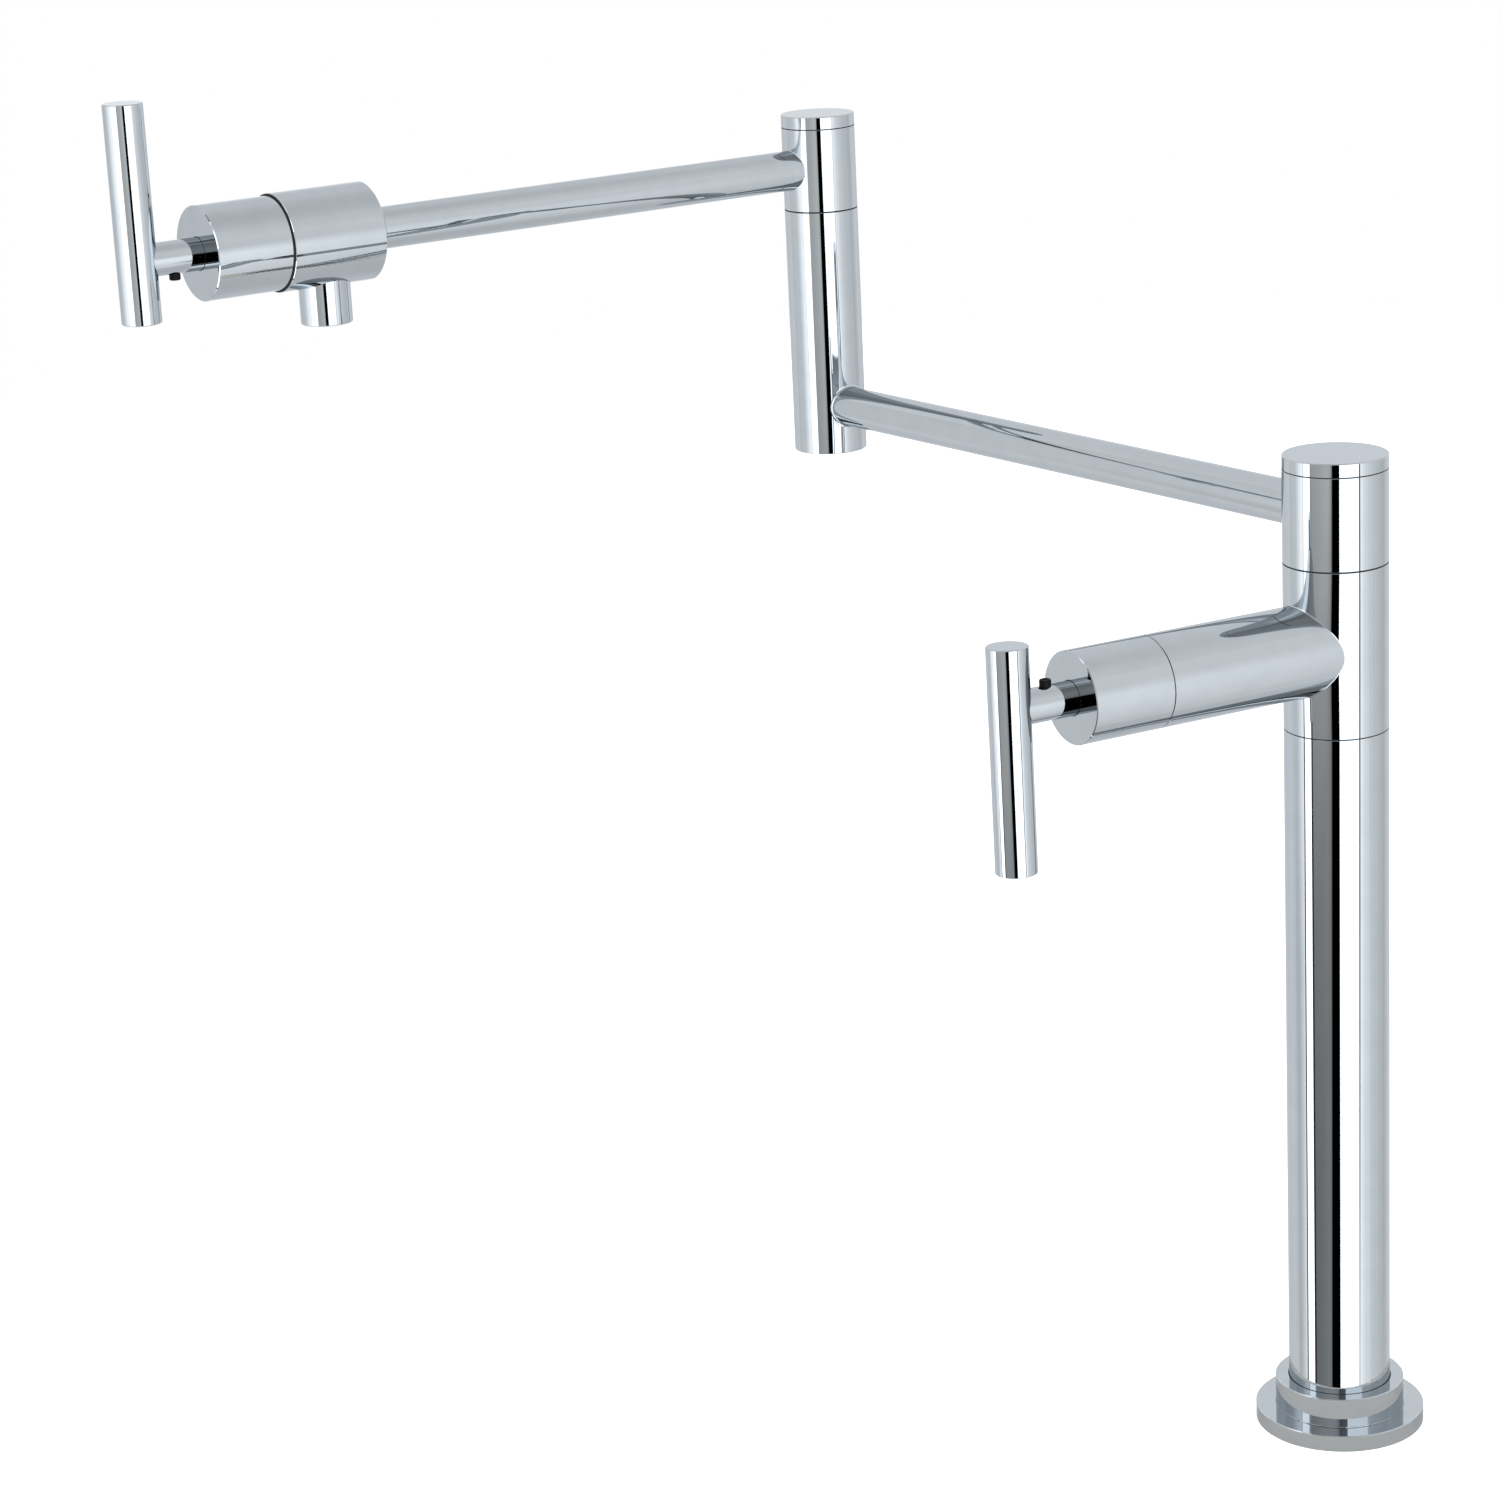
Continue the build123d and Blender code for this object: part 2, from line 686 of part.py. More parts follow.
def spindle(bonnet_length):
    """The stem: drive tang, bearing flange, seal groove, stop lug and a flat for the set screw."""
    tang_low = window_levels()[0] - drive_slot_depth + running_clearance
    flange_low = window_levels()[1]
    flange_high = flange_low + spindle_flange_thickness
    end = bonnet_length + set_screw_place + spindle_past_screw
    tang_size = (drive_slot_length - 2 * fit_clearance, drive_slot_width - 2 * fit_clearance)
    stem = Pos(0, 0, (tang_low + flange_low) / 2) * Box(*tang_size, flange_low - tang_low)
    stem += rod(disc_radius(), flange_low, flange_high)
    stem += rod(spindle_radius, flange_high, end)
    groove_low = stem_seal_place - stem_seal_section / 2 - running_clearance
    groove_high = stem_seal_place + stem_seal_section / 2 + running_clearance
    stem -= tube(spindle_radius + 1, spindle_radius - stem_seal_section, groove_low, groove_high)
    lug_low = cartridge_neck_height + running_clearance
    lug = sector(stop_reach, -stop_sector / 2, stop_sector, lug_low, cartridge_neck_height + stop_height)
    stem += lug
    return bevel(stem, rim_bevel, spindle_radius, end)


def screw_flat(bonnet_length, side):
    """What the set screw's seat takes out of the spindle."""
    middle = bonnet_length + set_screw_place
    flat = Box(spindle_diameter, 2 * spindle_flat_depth, set_screw_diameter + 2 * loose_clearance)
    return Pos(0, side * spindle_radius, middle) * flat


def cartridge_nut():
    """The brass nut that holds the cartridge down."""
    inner = cartridge_neck_diameter / 2 + loose_clearance
    low = cartridge_flange_thickness - shoulder_depth
    nut = rod(nut_thread_diameter / 2 - fit_clearance, low, bonnet_thread_length)
    nut += hexagon(nut_hex_flats, bonnet_thread_length, bonnet_thread_length + nut_hex_height)
    return nut - rod(inner, low - 1, bonnet_thread_length + nut_hex_height + 1)


def bonnet(radius, length):
    """The polished sleeve with a flat face, screwed over the front of the barrel."""
    shell = rod(radius, seam_gap, length)
    shell = bevel(shell, seam_bevel, radius, seam_gap)
    shell = bevel(shell, rim_bevel, radius, length)
    shell -= rod(bonnet_thread_diameter / 2 + fit_clearance, 0, bonnet_thread_length + fit_clearance)
    shell -= rod(radius - bonnet_wall, bonnet_thread_length, length - bonnet_face_thickness)
    return shell - rod(hub_diameter / 2 + hub_gap, 0, length + 1)


def handle_frame(rod_level, side):
    """The frame of the lever rod, its Z towards the long end."""
    return Plane(origin=(0, 0, rod_level), x_dir=(1, 0, 0), z_dir=(0, side, 0))


def lever_rod(rod_level, side):
    """The plain bar of the handle, longer on one side of the hub."""
    radius = rod_diameter / 2
    bar = rod(radius, -rod_short_end, rod_long_end)
    bar = handle_frame(rod_level, side) * bevel(bar, rim_bevel, radius, -rod_short_end, rod_long_end)
    pin_radius = rod_pin_diameter / 2 + fit_clearance
    return bar - rod(pin_radius, rod_level - radius - 1, rod_level + rod_pin_depth)


def handle_hub(bonnet_length, rod_level, side):
    """The round stem from the spindle to the lever rod, cut to the rod's round."""
    radius = hub_diameter / 2
    low = bonnet_length - hub_inset
    hub = rod(radius, low, rod_level)
    hub -= handle_frame(rod_level, side) * Cylinder(rod_diameter / 2, 2 * rod_diameter)
    hub += rod(rod_pin_diameter / 2, rod_level - rod_diameter / 2 - 1, rod_level + rod_pin_depth)
    socket_end = bonnet_length + set_screw_place + spindle_past_screw + loose_clearance
    hub -= rod(spindle_radius + fit_clearance, low - 1, socket_end)
    cross = screw_frame(bonnet_length, -side)
    return hub - cross * rod(set_screw_diameter / 2 + fit_clearance, 0, radius + 1)


def screw_frame(bonnet_length, side):
    """The frame of the set screw, its Z pointing out of the hub."""
    return Plane(origin=(0, 0, bonnet_length + set_screw_place), x_dir=(1, 0, 0), z_dir=(0, side, 0))


def set_screw(bonnet_length, side):
    """The black screw that bears on the spindle's flat and stands a little out of the hub."""
    low = spindle_radius - spindle_flat_depth + fit_clearance
    high = hub_diameter / 2 + set_screw_proud
    screw = rod(set_screw_diameter / 2, low, high)
    screw = bevel(screw, rim_bevel, set_screw_diameter / 2, low, high)
    screw -= hexagon(set_screw_socket_flats, high - set_screw_socket_depth, high + 1)
    return screw_frame(bonnet_length, side) * screw


def valve_trim(name, frame, bonnet_radius, bonnet_length, side, lean):
    """Everything that goes into and onto one barrel; side is 1 with the long lever end up."""
    rod_level = bonnet_length + handle_standoff
    seal_outer = spindle_radius + running_clearance
    stem_seal = Pos(0, 0, stem_seal_place) * seal_ring(spindle_radius - stem_seal_section, seal_outer)
    still = {
        "seat_seal": seat_seal(),
        "fixed_disc": fixed_disc(),
        "cartridge_body": cartridge_body(),
        "cartridge_nut": cartridge_nut(),
        "stem_seal": stem_seal,
        "bonnet": bonnet(bonnet_radius, bonnet_length),
    }
    turning = {
        "turning_disc": turning_disc(),
        "spindle": spindle(bonnet_length) - screw_flat(bonnet_length, -side),
        "handle_hub": handle_hub(bonnet_length, rod_level, side),
        "lever_rod": lever_rod(rod_level, side),
        "set_screw": set_screw(bonnet_length, -side),
    }
    placed = {f"{name}_{part}": frame * shape for part, shape in still.items()}
    placed.update({f"{name}_{part}": frame * Rot(0, 0, lean) * shape for part, shape in turning.items()})
    return placed


def swivel_parts(name, swivel):
    """The hidden pieces of one swivel."""
    return {
        f"{name}_swivel_post": swivel_post(swivel),
        f"{name}_thrust_washer": thrust_washer(swivel),
        f"{name}_top_washer": top_washer(swivel),
        f"{name}_retaining_ring": retaining_ring(swivel),
        f"{name}_o_rings": Compound(children=swivel_seals(swivel)),
    }


def assemble():
    """Every piece in its place, under the name of its node."""
    parts = {
        "deck_flange": deck_flange(),
        "base_collar": base_collar(),
        "riser_tube": riser_tube(),
        "threaded_shank": threaded_shank(),
        "valve_body": valve_body(),
        "swivel_head": swivel_sleeve(column_swivel),
        "column_cap": swivel_cap(column_swivel),
    }
    parts.update(mounting_parts())
    parts.update(swivel_parts("column", column_swivel))

    at_joint = Pos(*joint_axis, 0)
    joint = {
        "joint_barrel": joint_barrel(),
        "knuckle": swivel_sleeve(joint_swivel),
        "joint_cap": swivel_cap(joint_swivel),
    }
    joint.update(swivel_parts("joint", joint_swivel))
    parts.update({name: at_joint * shape for name, shape in joint.items()})
    parts.update(arm_tubes())

    arm_frame = level_frame(joint_axis, upper_arm_angle, joint_swivel.arm_level)
    nozzle_frame = arm_frame * Pos(0, 0, outlet_start + nozzle_reach) * Rot(90, 0, 0)
    parts["outlet_body"] = arm_frame * outlet_body()
    parts["outlet_nozzle"] = nozzle_frame * outlet_nozzle()
    parts["stream_insert"] = nozzle_frame * stream_insert()
    parts["stream_mesh"] = nozzle_frame * stream_mesh()

    side_frame = level_frame(column_axis, -90, side_axis_height, side_barrel_reach)
    outlet_frame = level_frame(joint_axis, upper_arm_angle, joint_swivel.arm_level, outlet_seam)
    side_radius = side_barrel_diameter / 2
    outlet_radius = outlet_bonnet_diameter / 2
    parts.update(valve_trim("side", side_frame, side_radius, side_bonnet_length, -1, side_handle_lean))
    parts.update(valve_trim("outlet", outlet_frame, outlet_radius, outlet_bonnet_length, 1, 0))
    return parts


os.makedirs("parts", exist_ok=True)
for node, shape in assemble().items():
    export_step(shape, f"parts/{node}.step")
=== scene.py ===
import json
import math

import bpy
from mathutils import Matrix, Vector


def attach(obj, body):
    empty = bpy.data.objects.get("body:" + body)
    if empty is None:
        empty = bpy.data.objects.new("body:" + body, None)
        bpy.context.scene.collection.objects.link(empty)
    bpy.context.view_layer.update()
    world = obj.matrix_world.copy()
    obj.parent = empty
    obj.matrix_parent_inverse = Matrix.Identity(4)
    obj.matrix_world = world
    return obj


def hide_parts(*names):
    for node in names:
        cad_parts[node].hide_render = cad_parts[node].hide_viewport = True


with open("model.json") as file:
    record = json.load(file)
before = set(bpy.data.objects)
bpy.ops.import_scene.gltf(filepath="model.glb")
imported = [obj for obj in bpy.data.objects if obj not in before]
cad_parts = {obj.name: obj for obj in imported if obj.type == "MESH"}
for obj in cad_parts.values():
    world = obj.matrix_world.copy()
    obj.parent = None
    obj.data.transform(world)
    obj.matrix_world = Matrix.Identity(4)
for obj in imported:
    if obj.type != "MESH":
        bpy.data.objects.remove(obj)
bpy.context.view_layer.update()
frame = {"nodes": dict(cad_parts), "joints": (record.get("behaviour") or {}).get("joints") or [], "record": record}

# Camera, fitted to the photograph. Angles are in degrees, lengths in metres, and the lens and its sensor in
# millimetres.
CAMERA_AZIMUTH = -37.2952
CAMERA_DISTANCE = 1.262617
CAMERA_HEIGHT = 0.618277
CAMERA_YAW = -8.90279
CAMERA_PITCH = -16.31306
CAMERA_ROLL = -2.79174
FOCAL_LENGTH = 93.715
SENSOR_WIDTH = 36.0
NEAREST_SEEN = 0.05
FARTHEST_SEEN = 50

# The studio is a tent with standing panels in it. An edge of a panel has a distance from the column, an
# azimuth to the right of the camera at REFERENCE_HEIGHT, a lean in degrees of azimuth per metre of height,
# and the height at which the lean ends. Lengths are in metres, azimuths in degrees.
REFERENCE_HEIGHT = 0.03
PANEL_LOW = -1.3
PANEL_HIGH = 1.3
PANEL_ROWS = 26
PANEL_COLUMNS = 6
WINDOW_LEAN_END = 0.04
LEFT_WALL_EDGE = (1.000, -115.0, 0.0, PANEL_HIGH)
STRIP_LEFT_EDGE = (0.841, -74.8, 4.0, PANEL_HIGH)
STRIP_START = (0.841, -71.3, 4.0, PANEL_HIGH)
STRIP_END = (0.670, -56.0, 2.0, PANEL_HIGH)
GREY_START = (0.690, -52.0, 0.0, PANEL_HIGH)
GAP_LEFT_EDGE = (1.270, -7.2, 14.0, PANEL_HIGH)
GAP_RIGHT_EDGE = (1.336, 8.5, 9.0, PANEL_HIGH)
WINDOW_END = (1.200, 51.2, 10.0, WINDOW_LEAN_END)
RIGHT_WALL_START = (1.200, 54.3, 10.0, WINDOW_LEAN_END)
RIGHT_WALL_EDGE = (1.200, 98.0, 0.0, PANEL_HIGH)

# The tent. Its near cloth begins, and is full, where a unit direction reaches so far towards its azimuth.
TENT_RADIUS = 3.0
TENT_HEIGHT = 0.25
TENT_RINGS = 24
TENT_SIDES = 48
NEAR_CLOTH_AZIMUTH = -10
NEAR_CLOTH_START = 0.1
NEAR_CLOTH_FULL = 0.5

# The floor's paper with its own glow, and the small stand that only the chrome mirrors
FLOOR_RADIUS = 2.2
PLINTH_RADIUS = 0.056
DISC_SIDES = 96
WHITE = (1, 1, 1, 1)
PAPER_WHITE = (0.82, 0.82, 0.82, 1)
PAPER_GLOW = 0.64
PLINTH_WHITE = (0.95, 0.93, 0.9, 1)

# The share of light that the chrome mirrors, the cool tint of most of the studio, and the warm tint of its
# grey card and of the tent's near cloth
CHROME_LIGHT = 0.435
COOL_TINT = (1.0, 1.0, 1.015)
WARM_TINT = (1.02, 1.0, 0.985)

# The shank with its two threads, in millimetres as on a drawing
SHANK_LOW = -75.0
SHANK_BORE = 6.5
SHANK_END_BEVEL = 1.0
SUPPLY_PITCH = 1.814
SUPPLY_LOW = -74.0
SUPPLY_HIGH = -49.0
SUPPLY_RADIUS = 10.45
RELIEF_RADIUS = 9.55
SHANK_PITCH = 2.0
SHANK_THREAD_LOW = -47.0
SHANK_THREAD_HIGH = 0.0
SHANK_RADIUS = 11.95
HEAD_LOW = 4.2
HEAD_HIGH = 22.2
HEAD_RADIUS = 14.95
THREAD_DEPTH = 0.6
ROWS_PER_PITCH = 6
THREAD_SIDES = 48

# Thin black rings of painted shade in the seams between the polished pieces, in millimetres as on a drawing. A
# seam of the column or of the middle joint lies on top of a CAD node and has the width of a screwed or of a
# swivelling seam.
SEAM_BEVEL = 0.15
SEAM_DEPTH = 0.55
SEAM_RECESS = 0.05
SEAM_CLEARANCE = 0.02
SCREWED_SEAM = 0.15
SWIVEL_SEAM = 0.3
RING_SIDES = 96
COLUMN_RADIUS = 17.5
MIDDLE_JOINT_RADIUS = 13.8
SIDE_BARREL_RADIUS = 15.45
UPRIGHT_SEAMS = (
    ("riser_seam_shade_ring", "riser_tube", "column_swivel", COLUMN_RADIUS, SCREWED_SEAM),
    ("column_seat_shade_ring", "valve_body", "column_swivel", COLUMN_RADIUS, SWIVEL_SEAM),
    ("column_cap_shade_ring", "swivel_head", "column_swivel", COLUMN_RADIUS, SCREWED_SEAM),
    ("joint_seat_shade_ring", "joint_barrel", "joint_swivel", MIDDLE_JOINT_RADIUS, SWIVEL_SEAM),
    ("joint_cap_shade_ring", "knuckle", "joint_swivel", MIDDLE_JOINT_RADIUS, SCREWED_SEAM),
)

# Outlines of single black rings of painted shade, as radii and heights: from the joint's centre in the outlet
# barrel's seam, from a bonnet's face round its hub, and from the collar's top at the foot of the column
OUTLET_SEAM_SHADE = (
    (15.95, 0.02),
    (17.12, 0.02),
    (17.12, 0.3),
    (16.52, 0.44),
    (16.52, 0.31),
    (16.34, 0.13),
    (15.95, 0.13),
)
HUB_GAP_SHADE = ((5.77, -0.6), (5.93, -0.6), (5.93, -0.05), (5.77, -0.05))
COLUMN_FOOT_SHADE = ((17.52, -0.23), (17.56, -0.23), (17.74, -0.04), (17.52, -0.04))

# The bead round the foot of the collar, with its centre's lift over the flange
BEAD_RADIUS = 22.212
BEAD_LIFT = 0.15
BEAD_THICKNESS = 0.28
BEAD_SIDES = 10

# Round seals: the facets round a seal, and round its own section
SEAL_SIDES = 64
SEAL_SECTION_SIDES = 12

# Noise in the finishes: a coarse cloud for the colour, and a fine grain for the roughness and the relief
CLOUD_SCALE = 0.15
CLOUD_DETAIL = 3.0
CLOUD_START = 0.3
CLOUD_END = 0.7
GRAIN_DETAIL = 4.0

# A metre in millimetres, the digits of a micrometre in metres, and the angle in degrees from which an edge
# is sharp
METRE = 1000
MICROMETRE_DIGITS = 6
SHARP_ANGLE = 35

node_slot = {part["node"]: part["material_slot"] for part in frame["record"]["subparts"]}
frame_joints = {joint["name"]: joint for joint in frame["joints"]}


def body_of(node):
    """The body that a CAD node moves with."""
    bodies = frame["record"]["behaviour"]["bodies"]
    return next(name for name, nodes in bodies.items() if node in nodes)


def value_of(level):
    """The light that an sRGB level from 0 to 255 stands for."""
    share = level / 255
    return share / 12.92 if share <= 0.04045 else ((share + 0.055) / 1.055) ** 2.4


def light_level(level, tint):
    """The light that shows in the chrome as an sRGB level. Above 255 it is brighter than white."""
    return tuple(value_of(level) / CHROME_LIGHT * share for share in tint)


class Nodes:
    """A short way to write a node tree."""

    def __init__(self, tree):
        self.tree = tree
        tree.nodes.clear()

    def add(self, kind, settings=(), **inputs):
        node = self.tree.nodes.new(kind)
        for name, value in dict(settings).items():
            setattr(node, name, value)
        for name, value in inputs.items():
            self.put(node.inputs[name.replace("_", " ")], value)
        return node

    def put(self, socket, value):
        if isinstance(value, bpy.types.NodeSocket):
            self.tree.links.new(value, socket)
        else:
            socket.default_value = value

    def ramp(self, factor, stops):
        """A colour that changes with a factor, from stops of places and colours."""
        node = self.add("ShaderNodeValToRGB")
        self.put(node.inputs[0], factor)
        elements = node.color_ramp.elements
        while len(elements) < len(stops):
            elements.new(0.5)
        for element, (place, colour) in zip(elements, stops):
            element.position = place
            element.color = (*colour, 1)
        return node.outputs[0]

    def levels(self, factor, stops, tint):
        """A tinted ramp, from stops of places and of sRGB levels as the chrome shows them."""
        return self.ramp(factor, [(place, light_level(level, tint)) for place, level in stops])

    def shares(self, factor, stops):
        """A grey ramp, from stops of places and shares."""
        return self.ramp(factor, [(place, (share, share, share)) for place, share in stops])

    def mix(self, factor, first, second, blend="MIX"):
        node = self.add("ShaderNodeMixRGB", {"blend_type": blend}, Fac=factor, Color1=first, Color2=second)
        return node.outputs[0]

    def split(self, vector):
        node = self.add("ShaderNodeSeparateXYZ")
        self.put(node.inputs[0], vector)
        return node.outputs

    def along(self, vector, direction):
        """How far a vector reaches in a fixed direction."""
        node = self.add("ShaderNodeVectorMath", {"operation": "DOT_PRODUCT"})
        self.put(node.inputs[0], vector)
        self.put(node.inputs[1], direction)
        return node.outputs["Value"]

    def math(self, operation, *values):
        node = self.add("ShaderNodeMath", {"operation": operation})
        for socket, value in zip(node.inputs, values):
            self.put(socket, value)
        return node.outputs[0]

    def remap(self, value, settings=(), **limits):
        """A value brought from one span to another. Limits that aren't given are 0 and 1."""
        node = self.add("ShaderNodeMapRange", settings, **limits)
        self.put(node.inputs["Value"], value)
        return node.outputs[0]

    def place(self, scale=(1, 1, 1)):
        """The object's own coordinates, scaled."""
        coordinates = self.add("ShaderNodeTexCoord")
        mapping = self.add("ShaderNodeMapping", Scale=scale)
        self.put(mapping.inputs["Vector"], coordinates.outputs["Object"])
        return mapping.outputs[0]

    def noise(self, scale, detail, stretch=(1, 1, 1)):
        node = self.add("ShaderNodeTexNoise", Scale=scale, Detail=detail)
        self.put(node.inputs["Vector"], self.place(stretch))
        return node.outputs["Fac"]

    def bump(self, height, distance):
        node = self.add("ShaderNodeBump", Distance=distance)
        self.put(node.inputs["Height"], height)
        return node.outputs[0]


def shaded(name, build):
    """A material whose surface comes from a function that adds its nodes."""
    material = bpy.data.materials.new(name)
    material.use_nodes = True
    nodes = Nodes(material.node_tree)
    output = nodes.add("ShaderNodeOutputMaterial")
    nodes.put(output.inputs["Surface"], build(nodes))
    return material


def surface(name, colours, roughness, metallic, grain, relief, stretch=(1, 1, 1), **fixed):
    """A finish whose colour, roughness and relief follow noise. Grain is per metre, relief in metres."""

    def build(nodes):
        shader = nodes.add("ShaderNodeBsdfPrincipled", Metallic=metallic, **fixed)
        cloud = nodes.noise(grain * CLOUD_SCALE, CLOUD_DETAIL)
        fine = nodes.noise(grain, GRAIN_DETAIL, stretch)
        stops = [(CLOUD_START, colours[0]), (CLOUD_END, colours[1])]
        least, most = roughness
        nodes.put(shader.inputs["Base Color"], nodes.ramp(cloud, stops))
        nodes.put(shader.inputs["Roughness"], nodes.remap(fine, To_Min=least, To_Max=most))
        nodes.put(shader.inputs["Normal"], nodes.bump(fine, relief))
        return shader.outputs[0]

    return shaded(name, build)


def glow(name, colour):
    """A light cloth or panel whose colour comes from a function that adds its nodes."""
    return shaded(name, lambda nodes: nodes.add("ShaderNodeEmission", Color=colour(nodes)).outputs[0])


def camera_point(distance, azimuth, height):
    """A point at a distance from the column, at an azimuth to the right of the camera."""
    turn = math.radians(CAMERA_AZIMUTH + azimuth)
    return Vector((distance * math.cos(turn), distance * math.sin(turn), height))


def camera_direction(azimuth):
    """The level direction from the column towards an azimuth to the right of the camera."""
    return camera_point(1, azimuth, 0)


def edge_point(edge, height):
    """The point of a panel's edge at a height."""
    distance, azimuth, lean, lean_end = edge
    lean_height = min(height, lean_end) - REFERENCE_HEIGHT
    return camera_point(distance, azimuth + lean * lean_height, height)


def stage_object(name, points, faces, material):
    """An object of the studio, which isn't part of the tap."""
    mesh = bpy.data.meshes.new(name)
    mesh.from_pydata(points, [], faces)
    mesh.materials.append(material)
    item = bpy.data.objects.new(name, mesh)
    bpy.context.scene.collection.objects.link(item)
    return item


def panel(name, left, right, colour):
    """A standing panel between two edges, with u across and v up. The chrome sees it, the camera doesn't."""
    wide = PANEL_COLUMNS + 1
    points = []
    for row in range(PANEL_ROWS + 1):
        height = PANEL_LOW + (PANEL_HIGH - PANEL_LOW) * row / PANEL_ROWS
        start, end = edge_point(left, height), edge_point(right, height)
        points += [start.lerp(end, column / PANEL_COLUMNS) for column in range(wide)]
    corners = [row * wide + column for row in range(PANEL_ROWS) for column in range(PANEL_COLUMNS)]
    faces = [(corner, corner + 1, corner + wide + 1, corner + wide) for corner in corners]
    item = stage_object(name, points, faces, glow(name, colour))
    layer = item.data.uv_layers.new(name="across_and_up")
    for corner in item.data.loops:
        row, column = divmod(corner.vertex_index, wide)
        layer.data[corner.index].uv = (column / PANEL_COLUMNS, row / PANEL_ROWS)
    item.visible_camera = False
    item.visible_shadow = False


def across_and_up(nodes):
    """A panel's own places: from 0 to 1 across it, and from 0 to 1 up it."""
    parts = nodes.split(nodes.add("ShaderNodeTexCoord").outputs["UV"])
    return parts["X"], parts["Y"]


def upright(levels):
    """A panel colour that only changes from its foot to its top."""
    return lambda nodes: nodes.levels(across_and_up(nodes)[1], levels, COOL_TINT)


def wall(nodes, low, high, change):
    """A wall's colour: levels across its lower and its upper part, and where the one becomes the other."""
    across, up = across_and_up(nodes)
    lower = nodes.levels(across, low, COOL_TINT)
    upper = nodes.levels(across, high, COOL_TINT)
    return nodes.mix(nodes.shares(up, change), lower, upper)


def left_wall(nodes):
    low = [(0, 190), (0.25, 188), (0.42, 173), (0.6, 172), (0.75, 188), (0.88, 202), (1, 222)]
    high = [(0, 182), (0.45, 186), (0.57, 188), (0.65, 201), (0.75, 217), (0.87, 236), (1, 246)]
    return wall(nodes, low, high, change=[(0.45, 0.0), (0.54, 1.0)])


def right_wall(nodes):
    low = [(0, 238), (0.1, 230), (0.25, 213), (0.45, 202), (0.65, 195), (0.8, 187), (1, 188)]
    high = [(0, 184), (0.15, 187), (0.35, 193), (0.7, 192), (1, 189)]
    return wall(nodes, low, high, change=[(0.64, 0.0), (0.78, 1.0)])


def grey_card(nodes):
    """The grey card, lit from above, so it darkens downwards, and shaded towards both edges."""
    across, up = across_and_up(nodes)
    down = [(0.42, 115), (0.48, 126), (0.51, 143), (0.54, 163), (0.6, 175), (0.65, 182), (0.8, 160), (1, 150)]
    sideways = [(0, 0.74), (0.1, 0.77), (0.35, 0.88), (0.6, 1.0), (0.8, 0.94), (0.91, 0.72), (1, 0.26)]
    return nodes.mix(1.0, nodes.levels(up, down, WARM_TINT), nodes.shares(across, sideways), "MULTIPLY")


def far_cloth(nodes, direction, height):
    """The cloth behind the tap: pale, darker above and below, with soft upright folds at the tap's level."""
    levels = [
        (0.0, 165),
        (0.08, 174),
        (0.15, 186),
        (0.5, 186),
        (0.58, 196),
        (0.62, 202),
        (0.67, 197),
        (0.9, 185),
        (1.0, 165),
    ]
    folds = [
        (0.14, 1.1),
        (0.36, 1.1),
        (0.44, 1.0),
        (0.56, 1.0),
        (0.62, 1.16),
        (0.71, 1.16),
        (0.82, 0.84),
        (0.92, 0.95),
    ]
    at_tap_level = [(0.2, 0.0), (0.27, 1.0), (0.6, 1.0), (0.7, 0.0)]
    plain = nodes.levels(height, levels, COOL_TINT)
    rightwards = nodes.along(direction, camera_direction(90))
    backwards = nodes.along(direction, camera_direction(180))
    quarter = math.pi / 2
    around = nodes.remap(nodes.math("ARCTAN2", rightwards, backwards), From_Min=-quarter, From_Max=quarter)
    folded = nodes.mix(1.0, plain, nodes.shares(around, folds), "MULTIPLY")
    return nodes.mix(nodes.shares(height, at_tap_level), plain, folded)


def room(nodes):
    """The tent's cloth: pale blue-grey behind the tap, and dimmer behind the camera."""
    unit = nodes.add("ShaderNodeVectorMath", {"operation": "NORMALIZE"})
    nodes.put(unit.inputs[0], nodes.place())
    direction = unit.outputs[0]
    height = nodes.remap(nodes.split(direction)["Z"], From_Min=-1.0)
    near_levels = [(0.0, 150), (0.15, 152), (0.5, 175), (0.75, 160), (0.85, 156), (1.0, 156)]
    near = nodes.levels(height, near_levels, WARM_TINT)
    nearness = nodes.along(direction, camera_direction(NEAR_CLOTH_AZIMUTH))
    soft = {"interpolation_type": "SMOOTHSTEP"}
    share = nodes.remap(nearness, soft, From_Min=NEAR_CLOTH_START, From_Max=NEAR_CLOTH_FULL)
    return nodes.mix(share, far_cloth(nodes, direction, height), near)


def on_circle(radius, step, steps):
    """The two coordinates of one of the evenly spaced points of a circle."""
    turn = math.tau * step / steps
    return radius * math.cos(turn), radius * math.sin(turn)


def tent():
    """The round tent that closes the studio, centred on the column."""
    points = [(0, 0, TENT_RADIUS)]
    for ring in range(1, TENT_RINGS):
        tilt = math.pi * ring / TENT_RINGS
        radius, height = TENT_RADIUS * math.sin(tilt), TENT_RADIUS * math.cos(tilt)
        points += [(*on_circle(radius, step, TENT_SIDES), height) for step in range(TENT_SIDES)]
    points.append((0, 0, -TENT_RADIUS))
    faces = []
    last = 1 + (TENT_RINGS - 2) * TENT_SIDES
    for step in range(TENT_SIDES):
        after = (step + 1) % TENT_SIDES
        faces.append((0, 1 + step, 1 + after))
        faces.append((last + step, len(points) - 1, last + after))
        for ring in range(TENT_RINGS - 2):
            low, high = 1 + ring * TENT_SIDES, 1 + (ring + 1) * TENT_SIDES
            faces.append((low + step, high + step, high + after, low + after))
    cloth = stage_object("tent", points, faces, glow("tent_cloth", room))
    cloth.location.z = TENT_HEIGHT
    cloth.visible_camera = False


